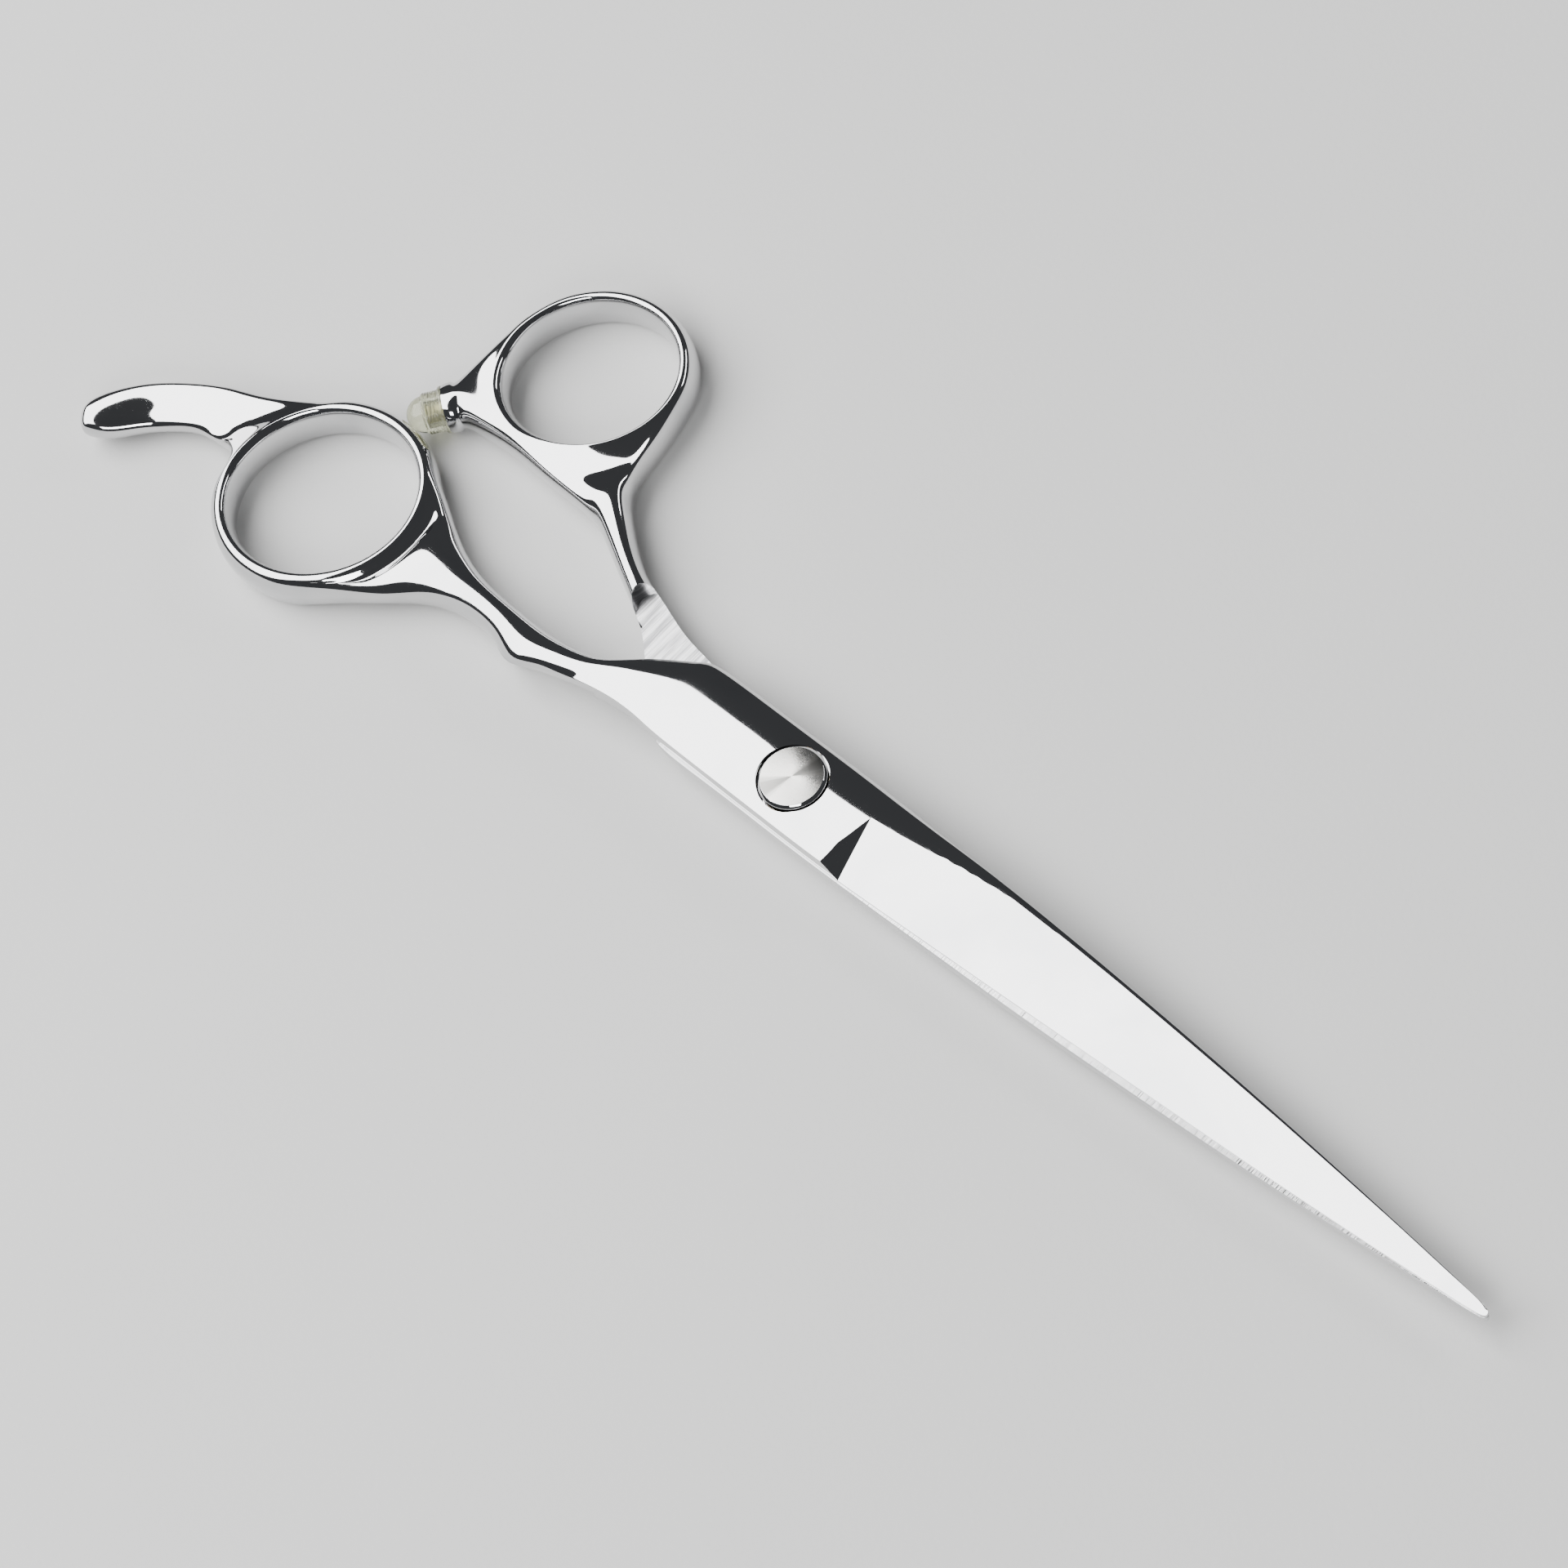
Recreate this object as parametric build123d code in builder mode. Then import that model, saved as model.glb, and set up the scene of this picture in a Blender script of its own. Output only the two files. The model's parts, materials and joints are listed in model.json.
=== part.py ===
from build123d import *
from math import cos, radians, sin
import os

# Hair cutting shears, closed. Millimetres.
# +X runs from the pivot to the blade tips, +Y to the side of the thumb ring, +Z up through the pivot
# disc. The origin is the middle of the tension screw's flat head, on the plane that the shears lie on.

# ---- overall ----
tip_x = 97.2                # pivot to the rounded tips
half_thick = 3.2            # thickness of each half at the pivot
head_proud = 0.2            # the tension screw's head stands this far out of the lower half
ride_gap = 0.03             # daylight between the two ride faces, which the glide washer sets
ring_height = 5.8           # height of the handles, which lie on the rest plane

# ---- blades, drawn for the upper half; the lower half is the same blade turned over ----
spine_y = 5.5               # spine to centre line at the plunge line
edge_y = 5.2                # cutting edge to centre line at the plunge line
plunge_x = 10.0             # where the ground blade starts
spine_bulge = 1.15          # how far the spine bows out from a straight line
edge_bulge = 0.40           # how far the cutting edge bows out
tip_half_width = 0.30       # half the width of the rounded tip
tip_thick = 0.9             # thickness at the tip
edge_land = 0.25            # height of the cutting edge's own small flat
spine_bevel = 1.1           # width of the bevel along the spine
bevel_share = 0.25          # the bevel never takes more than this share of the blade's width
spine_wall_share = 0.5      # share of the thickness that the spine's upright wall takes
shoulder_share = 0.96       # height of the bevel's upper edge, as a share of the thickness
crown_share = 0.55          # how far across the blade the crown stays high
heel_x = -16.0              # where the blade stops and the neck begins
heel_slope_long = 1.8       # sloped corner behind the heel, on the spine side
heel_slope_drop = 0.8
cheek_long = 4.0            # the same on the edge side
cheek_drop = 0.3
flat_end_x = -30.0          # back end of the thumb half's ground inner face
blade_stations = (plunge_x, 32.0, 54.0, 76.0, tip_x)

# ---- finger ring and thumb ring, oval ----
oval_turn = 35.0            # direction of both rings' long axis, from +X
finger_ring_x = -69.3
finger_ring_y = -6.3
finger_hole_long = 10.9    # half the hole's long axis
finger_hole_short = 10.1     # half the hole's short axis
finger_wall = 2.4           # radial thickness of the ring
thumb_ring_x = -55.4
thumb_ring_y = 23.3
thumb_hole_long = 9.9
thumb_hole_short = 9.1
thumb_wall = 2.1
finger_round = 1.7          # rounding of the handles' outer edges
thumb_round = 1.35

# ---- finger rest ----
rest_thick = 4.0            # centred on the ring's height
rest_round = 1.4

# ---- pivot ----
disc_r = 3.85               # flat pivot disc
disc_proud = 0.35           # how far the disc stands out of the upper half
disc_thick = 1.0
disc_chamfer = 0.3
counterbore_clear = 0.2     # gap round the disc
screw_r = 1.2               # tension screw's thread
bore_clear = 0.05           # round the thread, in the sleeve's bore
bore_end = 0.15             # metal left between the bore and the disc
lock_ring_wall = 0.25       # nylon ring in the mouth of the sleeve
lock_ring_high = 0.6
thread_fit = 0.02           # between the thread and the nylon ring
flat_wall = 0.2             # wall left between the nylon ring and the sleeve's two flats
flat_deep = 0.25            # depth of each flat; the two flats key the sleeve to the lower half
fit = 0.03                  # running clearance on the sleeve
race_thick = 0.25
race_inset = 0.1            # the races are this much smaller than the disc
ball_r = 0.35
ball_count = 12
ball_clear = 0.01           # above and below each ball
cage_thick = 0.26
cage_clear = 0.05           # round each ball and the sleeve
bush_wall = 0.6
washer_thick = 0.30         # depth of the glide washer's seat
washer_gap = 0.01           # the washer stays this far below the upper half
washer_r = 3.6
screw_head_r = 3.1
screw_head_thick = 1.0
screw_end_gap = 0.6         # room above the screw, to tighten it
recess_clear = 0.2          # round the screw's head
spanner_pitch_r = 2.0       # two blind holes for a pin spanner
spanner_hole_r = 0.45
spanner_hole_deep = 0.5
spring_thick = 0.25         # disc spring, between the screw's head and the lower half
spring_high = 0.7
spring_inset = 0.1          # the spring is this much smaller than the head
spring_bore_clear = 0.3     # round the sleeve

# ---- bumper ----
touch_angle = 53.0          # where the dome meets the finger ring, from the ring's long axis
touch_gap = 0.06            # daylight left there
bumper_turn = 232.0         # direction that the bumper points, from +X
boss_r = 2.75
boss_long = 7.0
boss_gap = 0.05             # between the boss's face and the cap
collar_long = 2.5
collar_r = 2.4
rim_r = 2.75
rim_long = 0.6
dome_r = 2.1
stud_r = 1.2
stud_in_boss = 4.0
stud_in_cap = 2.4

# ---- worked out ----
ride_z = head_proud + half_thick
upper_z = ride_z + ride_gap / 2
lower_z = ride_z - ride_gap / 2
upper_top_z = ride_z + half_thick
disc_top_z = upper_top_z + disc_proud
disc_bottom_z = disc_top_z - disc_thick
sleeve_bore_r = screw_r + bore_clear
lock_ring_r = screw_r + lock_ring_wall
sleeve_flat = lock_ring_r + flat_wall
sleeve_r = sleeve_flat + flat_deep
race_r = disc_r - race_inset
recess_r = screw_head_r + recess_clear
recess_top_z = screw_head_thick + spring_high
screw_top_z = disc_bottom_z - bore_end - screw_end_gap
spring_outer_r = screw_head_r - spring_inset
spring_inner_r = sleeve_r + spring_bore_clear
rest_z_low = (ring_height - rest_thick) / 2
upper_race_z = disc_bottom_z - race_thick
ball_gap = 2 * (ball_r + ball_clear)
ball_z = upper_race_z - ball_gap / 2
lower_race_z = upper_race_z - ball_gap - race_thick
counterbore_r = disc_r + counterbore_clear
ball_pitch_r = (sleeve_r + race_r) / 2
bush_r = sleeve_r + fit + bush_wall
sleeve_bottom_z = recess_top_z
washer_bottom_z = upper_z - washer_thick

os.makedirs("parts", exist_ok=True)


def save(part, label):
    part.label = label
    export_step(part, f"parts/{label}.step")


def blade_spine(x):
    along = (x - plunge_x) / (tip_x - plunge_x)
    straight = spine_y + (tip_half_width - spine_y) * along
    return straight + spine_bulge * 4 * along * (1 - along)


def blade_edge(x):
    along = (x - plunge_x) / (tip_x - plunge_x)
    straight = edge_y + (tip_half_width - edge_y) * along
    return -straight - edge_bulge * 4 * along * (1 - along)


def blade_height(x):
    along = (x - plunge_x) / (tip_x - plunge_x)
    return half_thick + (tip_thick - half_thick) * along


def blade_section(x, over):
    """Corners of the blade's cross-section at x, as (y, z). over is 1 for the upper half, -1 for the lower."""
    high = blade_height(x)
    spine = blade_spine(x)
    edge = blade_edge(x)
    bevel = min(spine_bevel, bevel_share * (spine - edge))
    crown = edge + (1 - crown_share) * (spine - edge)
    corners = [
        (spine, 0),
        (spine, spine_wall_share * high),
        (spine - bevel, shoulder_share * high),
        (crown, high),
        (edge, edge_land),
        (edge, 0),
    ]
    base_z = upper_z if over > 0 else lower_z
    return [(over * y, base_z + over * z) for y, z in corners]


def pivot_outline(over, neck):
    """Plan outline of a half's pivot area, with the neck's own points between the heel and the edge side."""
    return [
        (plunge_x, over * blade_spine(plunge_x)),
        (heel_x, over * spine_y),
        (heel_x - heel_slope_long, over * (spine_y - heel_slope_drop)),
        *neck,
        (heel_x - cheek_long, -over * (edge_y - cheek_drop)),
        (heel_x, -over * edge_y),
        (plunge_x, over * blade_edge(plunge_x)),
    ]


def oval_point(centre_x, centre_y, half_long, half_short, angle):
    """Point on a ring's oval at an angle measured from the long axis."""
    u = half_long * cos(radians(angle))
    v = half_short * sin(radians(angle))
    turn = radians(oval_turn)
    return (centre_x + u * cos(turn) - v * sin(turn), centre_y + u * sin(turn) + v * cos(turn))


def oval_normal(half_long, half_short, angle):
    """Outward direction of a ring's oval at an angle measured from the long axis."""
    u = cos(radians(angle)) / half_long
    v = sin(radians(angle)) / half_short
    turn = radians(oval_turn)
    return Vector(u * cos(turn) - v * sin(turn), u * sin(turn) + v * cos(turn), 0).normalized()


def ring_points(centre_x, centre_y, half_long, half_short, first, last, count):
    step = (last - first) / (count - 1)
    return [
        oval_point(centre_x, centre_y, half_long, half_short, first + step * i)
        for i in range(count)
    ]


# ---- upper half: blade, neck, shank, finger ring, finger rest ----
finger_outer = (finger_hole_long + finger_wall, finger_hole_short + finger_wall)
finger_outline = [
    (-27.5, -2.6), (-34.0, -3.1), (-42.0, -3.0), (-49.0, -2.0), (-56.0, 0.9),
    *ring_points(finger_ring_x, finger_ring_y, *finger_outer, 52, 256, 8),
    (-58.4, -14.7), (-52.9, -9.9), (-47.6, -7.3), (-41.5, -6.8), (-35.5, -6.8), (-29.0, -6.4),
]
finger_neck = [(-24.0, 0.0), (-27.5, -2.9), (-37.0, -3.8), (-37.0, -7.4), (-30.0, -6.2)]
finger_rest_outline = [
    (-80.0, 0.6), (-86.6, -1.9), (-93.2, -4.8), (-98.2, -8.6), (-101.3, -12.3), (-102.1, -15.1),
    (-100.5, -17.0), (-97.6, -16.4), (-94.3, -12.9), (-91.0, -9.9), (-87.2, -8.4), (-80.0, -9.6),
]

with BuildPart() as finger_rest:
    with BuildSketch(Plane.XY.offset(rest_z_low)):
        with BuildLine():
            Spline(*finger_rest_outline)
            Line(finger_rest_outline[-1], finger_rest_outline[0])
        make_face()
    extrude(amount=rest_thick)
    fillet(finger_rest.edges().filter_by(GeomType.BSPLINE), radius=rest_round)

with BuildPart() as finger_half:
    with BuildSketch(Plane.XY):
        with BuildLine():
            Spline(*finger_outline)
            Line(finger_outline[-1], finger_outline[0])
        make_face()
    extrude(amount=ring_height)
    fillet(finger_half.edges().filter_by(GeomType.BSPLINE), radius=finger_round)
    add(finger_rest.part)
    # neck and pivot area, above the ride plane
    with BuildSketch(Plane.XY.offset(upper_z)):
        Polygon(*pivot_outline(1, finger_neck), align=None)
    extrude(amount=half_thick)
    # blade
    for station in blade_stations:
        with BuildSketch(Plane.YZ.offset(station)):
            Polygon(*blade_section(station, 1), align=None)
    loft(ruled=True)
    # finger hole
    with BuildSketch(Plane((finger_ring_x, finger_ring_y, 0))):
        Ellipse(finger_hole_long, finger_hole_short, rotation=oval_turn)
    extrude(amount=ring_height, mode=Mode.SUBTRACT)
    # counterbore for the disc and its bearing, and the hole for the bush
    with BuildSketch(Plane.XY.offset(lower_race_z)):
        Circle(counterbore_r)
    extrude(amount=half_thick, mode=Mode.SUBTRACT)
    with BuildSketch(Plane.XY):
        Circle(bush_r)
    extrude(amount=disc_top_z, mode=Mode.SUBTRACT)
save(finger_half.part, "finger_half")

# ---- lower half: blade, neck, shank, thumb ring, bumper boss ----
thumb_outer = (thumb_hole_long + thumb_wall, thumb_hole_short + thumb_wall)
thumb_outline = [
    (-27.5, 7.2), (-31.6, 8.3), (-35.7, 11.2), (-40.1, 14.5), (-42.8, 18.6), (-44.1, 23.6),
    *ring_points(thumb_ring_x, thumb_ring_y, *thumb_outer, 4, 186, 8),
    (-59.5, 12.1), (-54.5, 11.0), (-49.0, 11.1), (-42.5, 10.2), (-35.8, 7.4), (-28.8, 3.4),
]
thumb_neck = [(-23.0, -0.6), (-26.0, 1.9), (-30.0, 5.2), (-29.0, 8.0), (-22.0, 6.0)]
boss_way = Vector(cos(radians(bumper_turn)), sin(radians(bumper_turn)), 0)
touch = Vector(*oval_point(finger_ring_x, finger_ring_y, *finger_outer, touch_angle), ring_height / 2)
dome_centre = touch + oval_normal(*finger_outer, touch_angle) * (dome_r + touch_gap)
boss_face = dome_centre - boss_way * (boss_gap + collar_long)
boss_plane = Plane(origin=boss_face, x_dir=(0, 0, 1), z_dir=boss_way)

with BuildPart() as thumb_half:
    with BuildSketch(Plane.XY):
        with BuildLine():
            Spline(*thumb_outline)
            Line(thumb_outline[-1], thumb_outline[0])
        make_face()
    extrude(amount=ring_height)
    fillet(thumb_half.edges().filter_by(GeomType.BSPLINE), radius=thumb_round)
    with BuildSketch(boss_plane):
        Circle(boss_r)
    extrude(amount=-boss_long)
    # the inner face is ground flat from the neck forward, for the upper half to ride over
    with BuildSketch(Plane.XY.offset(lower_z)):
        with Locations((flat_end_x, 0)):
            Rectangle(tip_x, tip_x, align=(Align.MIN, Align.CENTER))
    extrude(amount=ring_height, mode=Mode.SUBTRACT)
    with BuildSketch(Plane.XY.offset(lower_z)):
        Polygon(*pivot_outline(-1, thumb_neck), align=None)
    extrude(amount=-half_thick)
    for station in blade_stations:
        with BuildSketch(Plane.YZ.offset(station)):
            Polygon(*blade_section(station, -1), align=None)
    loft(ruled=True)
    with BuildSketch(Plane((thumb_ring_x, thumb_ring_y, 0))):
        Ellipse(thumb_hole_long, thumb_hole_short, rotation=oval_turn)
    extrude(amount=ring_height, mode=Mode.SUBTRACT)
    # seat of the glide washer, keyed hole for the sleeve, recess for the tension screw's head
    with BuildSketch(Plane.XY.offset(washer_bottom_z)):
        Circle(washer_r + fit)
    extrude(amount=half_thick, mode=Mode.SUBTRACT)
    with BuildSketch(Plane.XY):
        Circle(sleeve_r + fit)
        Rectangle(2 * (sleeve_flat + fit), 4 * sleeve_r, mode=Mode.INTERSECT)
    extrude(amount=disc_top_z, mode=Mode.SUBTRACT)
    with BuildSketch(Plane.XY):
        Circle(recess_r)
    extrude(amount=recess_top_z, mode=Mode.SUBTRACT)
    # threaded hole for the bumper's stud
    with BuildSketch(boss_plane):
        Circle(stud_r)
    extrude(amount=-stud_in_boss, mode=Mode.SUBTRACT)
save(thumb_half.part, "thumb_half")

# ---- pivot disc, with its hollow sleeve, flat on two sides below the ride plane ----
with BuildPart() as pivot_disc:
    with BuildSketch(Plane.XY.offset(disc_bottom_z)):
        Circle(disc_r)
    extrude(amount=disc_thick)
    chamfer(pivot_disc.edges().group_by(Axis.Z)[-1], length=disc_chamfer)
    with BuildSketch(Plane.XY.offset(washer_bottom_z)):
        Circle(sleeve_r)
    extrude(until=Until.NEXT)
    with BuildSketch(Plane.XY.offset(sleeve_bottom_z)):
        Circle(sleeve_r)
        Rectangle(2 * sleeve_flat, 4 * sleeve_r, mode=Mode.INTERSECT)
    extrude(amount=washer_bottom_z - sleeve_bottom_z)
    with BuildSketch(Plane.XY.offset(sleeve_bottom_z)):
        Circle(sleeve_bore_r)
    extrude(amount=disc_bottom_z - sleeve_bottom_z - bore_end, mode=Mode.SUBTRACT)
    with BuildSketch(Plane.XY.offset(sleeve_bottom_z)):
        Circle(lock_ring_r)
    extrude(amount=lock_ring_high, mode=Mode.SUBTRACT)
save(pivot_disc.part, "pivot_disc")

# ---- thrust bearing under the disc ----
for race_name, race_z in (("upper_race", upper_race_z), ("lower_race", lower_race_z)):
    with BuildPart() as race:
        with BuildSketch(Plane.XY.offset(race_z)):
            Circle(race_r)
            Circle(sleeve_r + fit, mode=Mode.SUBTRACT)
        extrude(amount=race_thick)
    save(race.part, race_name)

with BuildPart() as ball_cage:
    with BuildSketch(Plane.XY.offset(ball_z - cage_thick / 2)):
        Circle(race_r - fit)
        Circle(sleeve_r + cage_clear, mode=Mode.SUBTRACT)
        with PolarLocations(ball_pitch_r, ball_count):
            Circle(ball_r + cage_clear, mode=Mode.SUBTRACT)
    extrude(amount=cage_thick)
save(ball_cage.part, "ball_cage")

with BuildPart() as bearing_balls:
    with Locations((0, 0, ball_z)):
        with PolarLocations(ball_pitch_r, ball_count):
            Sphere(ball_r)
save(bearing_balls.part, "bearing_balls")

# ---- bush, pressed into the upper half ----
with BuildPart() as pivot_bush:
    with BuildSketch(Plane.XY.offset(upper_z)):
        Circle(bush_r)
        Circle(sleeve_r + fit, mode=Mode.SUBTRACT)
    extrude(amount=lower_race_z - upper_z)
save(pivot_bush.part, "pivot_bush")

# ---- glide washer between the halves ----
with BuildPart() as glide_washer:
    with BuildSketch(Plane.XY.offset(washer_bottom_z)):
        Circle(washer_r)
        Circle(sleeve_r + fit, mode=Mode.SUBTRACT)
    extrude(amount=washer_thick - washer_gap)
save(glide_washer.part, "glide_washer")

# ---- tension screw, from below, with its disc spring and its nylon ring ----
with BuildPart() as tension_screw:
    with BuildSketch(Plane.XY):
        Circle(screw_head_r)
    extrude(amount=screw_head_thick)
    chamfer(tension_screw.edges().group_by(Axis.Z)[0], length=disc_chamfer)
    with BuildSketch(Plane.XY.offset(screw_head_thick)):
        Circle(screw_r)
    extrude(amount=screw_top_z - screw_head_thick)
    with BuildSketch(Plane.XY):
        with PolarLocations(spanner_pitch_r, 2):
            Circle(spanner_hole_r)
    extrude(amount=spanner_hole_deep, mode=Mode.SUBTRACT)
save(tension_screw.part, "tension_screw")

with BuildPart() as disc_spring:
    with BuildSketch(Plane.XZ):
        Polygon(
            (spring_outer_r, screw_head_thick),
            (spring_outer_r, screw_head_thick + spring_thick),
            (spring_inner_r, recess_top_z),
            (spring_inner_r, recess_top_z - spring_thick),
            align=None,
        )
    revolve(axis=Axis.Z)
save(disc_spring.part, "disc_spring")

with BuildPart() as nylon_lock_ring:
    with BuildSketch(Plane.XY.offset(sleeve_bottom_z)):
        Circle(lock_ring_r)
        Circle(screw_r + thread_fit, mode=Mode.SUBTRACT)
    extrude(amount=lock_ring_high)
save(nylon_lock_ring.part, "nylon_lock_ring")

# ---- bumper: a threaded stud that carries a clear cap with a collar and a domed end ----
with BuildPart() as bumper_stud:
    with BuildSketch(boss_plane.offset(-stud_in_boss)):
        Circle(stud_r)
    extrude(amount=stud_in_boss + stud_in_cap)
save(bumper_stud.part, "bumper_stud")

with BuildPart() as bumper_cap:
    with BuildSketch(boss_plane.offset(boss_gap)):
        Circle(rim_r)
    extrude(amount=rim_long)
    with BuildSketch(boss_plane.offset(boss_gap + rim_long)):
        Circle(collar_r)
    extrude(amount=collar_long - rim_long)
    with Locations(dome_centre):
        Sphere(dome_r)
    with BuildSketch(boss_plane):
        Circle(stud_r)
    extrude(amount=stud_in_cap, mode=Mode.SUBTRACT)
save(bumper_cap.part, "bumper_cap")
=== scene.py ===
# %% [markdown]
# # Hair cutting shears, closed on a pale floor
# A pair of salon shears is two forged steel halves that ride on each other: each one is a blade, a flat
# pivot plate, a neck, a shank and a ring. A flat pivot disc and a ball bearing hold them together, a
# threaded screw below sets the tension, and a clear bumper keeps the rings apart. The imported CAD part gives
# every place and every motion. This file gives each piece its finished surface.

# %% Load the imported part
import json
import math

import bmesh
import bpy
import numpy as np
from mathutils import Matrix, Vector


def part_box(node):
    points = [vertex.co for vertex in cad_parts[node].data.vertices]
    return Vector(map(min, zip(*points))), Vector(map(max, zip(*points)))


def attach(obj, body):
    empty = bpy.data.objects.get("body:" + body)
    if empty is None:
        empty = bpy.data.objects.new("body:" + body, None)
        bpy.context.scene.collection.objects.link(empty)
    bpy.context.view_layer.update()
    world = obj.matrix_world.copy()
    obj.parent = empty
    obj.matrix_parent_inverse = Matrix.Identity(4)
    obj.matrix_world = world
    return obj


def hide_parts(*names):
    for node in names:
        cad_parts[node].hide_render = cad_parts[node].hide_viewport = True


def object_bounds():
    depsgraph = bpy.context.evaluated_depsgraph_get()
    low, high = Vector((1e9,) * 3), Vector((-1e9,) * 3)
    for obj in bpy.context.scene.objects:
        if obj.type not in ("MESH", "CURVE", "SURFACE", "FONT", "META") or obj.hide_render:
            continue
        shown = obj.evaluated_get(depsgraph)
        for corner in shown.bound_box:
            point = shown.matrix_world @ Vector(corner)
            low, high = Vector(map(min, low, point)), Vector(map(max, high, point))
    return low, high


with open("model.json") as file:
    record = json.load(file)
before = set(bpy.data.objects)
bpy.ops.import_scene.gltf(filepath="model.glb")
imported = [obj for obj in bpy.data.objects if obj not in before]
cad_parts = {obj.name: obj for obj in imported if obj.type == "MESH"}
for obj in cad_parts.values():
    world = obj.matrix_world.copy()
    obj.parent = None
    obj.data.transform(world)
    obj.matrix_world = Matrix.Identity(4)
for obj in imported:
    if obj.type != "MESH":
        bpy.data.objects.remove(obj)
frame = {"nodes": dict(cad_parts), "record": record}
cad_low, cad_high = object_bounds()
MM = 0.001
print("CAD box in mm:", [round(v / MM, 2) for v in (*cad_low, *cad_high)])

# %% [markdown]
# ## Places that come from the part
# The shears are drawn in millimetres, as a tool maker would. The plane where the halves meet, the height of
# the pivot plate, the tip, the disc and the middle of each ring are read from the part. The outlines below
# are fixed numbers, so a part with other outlines needs new ones.


# %% Read the places
def box_mm(node):
    low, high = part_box(node)
    return low / MM, high / MM


def ring_centre(name):
    openings = frame["record"]["physics"]["openings"]
    low, high = next(o["box_m"] for o in openings if o["name"] == name)
    return (Vector(low[:2]) + Vector(high[:2])) / 2 / MM


ride_gap = 0.03
upper_z = box_mm("pivot_bush")[0].z
lower_z = upper_z - ride_gap
ride_z = (upper_z + lower_z) / 2
plate_top_z = box_mm("finger_half")[1].z
plate_thick = plate_top_z - upper_z
handle_high = box_mm("thumb_half")[1].z
tip_x = box_mm("finger_half")[1].x
disc_low, disc_high = box_mm("pivot_disc")
disc_r = disc_high.x
finger_centre = ring_centre("finger_loop_1")
thumb_centre = ring_centre("thumb_loop_1")
print("ride plane", round(ride_z, 3), "plate top", round(plate_top_z, 3), "tip", round(tip_x, 2))
print("rings", tuple(finger_centre), tuple(thumb_centre), "disc radius", round(disc_r, 2))

# %% [markdown]
# ## Shader arithmetic
# A finish is a recipe of numbers that change over the surface. Wrapping a socket in a small class lets the
# recipe read like arithmetic: each operator adds the Math node that does it.


# %% A socket that does arithmetic
class Value:
    """A number output of a node, in a material's node tree."""

    def __init__(self, nodes, socket):
        self.nodes = nodes
        self.socket = socket

    def math(self, operation, *others, clamp=False):
        settings = {"operation": operation, "use_clamp": clamp}
        return self.nodes.add("ShaderNodeMath", settings, {0: self, **dict(enumerate(others, 1))})

    def __add__(self, other):
        return self.math("ADD", other)

    __radd__ = __add__

    def __mul__(self, other):
        return self.math("MULTIPLY", other)

    __rmul__ = __mul__

    def __sub__(self, other):
        return self.math("SUBTRACT", other)

    def __rsub__(self, other):
        return self.nodes.add("ShaderNodeMath", {"operation": "SUBTRACT"}, {0: other, 1: self})

    def clamp(self):
        return self.math("ADD", 0.0, clamp=True)

    def between(self, low, high):
        """0 below low, 1 above high, smooth in between."""
        sockets = {"Value": self, "From Min": low, "From Max": high}
        return self.nodes.add("ShaderNodeMapRange", {"interpolation_type": "SMOOTHSTEP"}, sockets)


# %% A material that takes any node
class Finish:
    """A material, with one method that adds any node."""

    def __init__(self, name):
        self.material = bpy.data.materials.new(name)
        self.material.use_nodes = True
        self.tree = self.material.node_tree
        self.shader = self.tree.nodes["Principled BSDF"]
        self.position = self.add("ShaderNodeTexCoord", output="Object")

    def put(self, socket, value):
        if isinstance(value, Value):
            self.tree.links.new(value.socket, socket)
        else:
            socket.default_value = value

    def add(self, kind, settings=None, sockets=None, output=0):
        node = self.tree.nodes.new(kind)
        for name, value in (settings or {}).items():
            setattr(node, name, value)
        for name, value in (sockets or {}).items():
            self.put(node.inputs[name], value)
        return Value(self, node.outputs[output])

    def surface(self, **sockets):
        for name, value in sockets.items():
            self.put(self.shader.inputs[name.replace("_", " ")], value)
        return self.material

    def noise(self, scale, detail=3.0, roughness=0.5, stretch=(1, 1, 1), turn=0.0, distortion=0.0):
        """Noise from 0 to 1. Scale counts features per metre; stretch squeezes it along an axis."""
        turned = {"Vector": self.position, "Scale": stretch, "Rotation": (0, 0, math.radians(turn))}
        sockets = {
            "Vector": self.add("ShaderNodeMapping", sockets=turned), "Scale": scale, "Detail": detail,
            "Roughness": roughness, "Distortion": distortion,
        }
        return self.add("ShaderNodeTexNoise", sockets=sockets)

    def mix(self, factor, first, second):
        """Colour between first and second."""
        node = self.tree.nodes.new("ShaderNodeMix")
        node.data_type = "RGBA"
        self.put(node.inputs[0], factor)
        self.put(node.inputs[6], first)
        self.put(node.inputs[7], second)
        return Value(self, node.outputs[2])

    def bump(self, height, depth):
        """A bumped normal. depth, in metres, is how deep a height of 1 is."""
        return self.add("ShaderNodeBump", sockets={"Height": height, "Distance": depth})


# %% [markdown]
# ## Polished steel
# Both halves are forged stainless steel, ground and then polished on a soft wheel until they mirror the
# room. What stops a mirror from looking like a computer's chrome is small: a faint orange-peel waviness from
# the soft wheel, hairline scratches along the tool from wiping, and a haze of finger marks. Each is a mask
# that moves the roughness or the bump a little.


# %% Make the polished steel
def hairlines(finish, scale, turn, keep):
    """Fine scratches: noise that is stretched fiftyfold, with only its peaks kept."""
    lines = finish.noise(scale, detail=2.0, stretch=(0.02, 1, 1), turn=turn)
    patches = finish.noise(90, detail=1.0, turn=turn)
    return lines.between(keep, keep + 0.06) * patches.between(0.45, 0.65)


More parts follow.
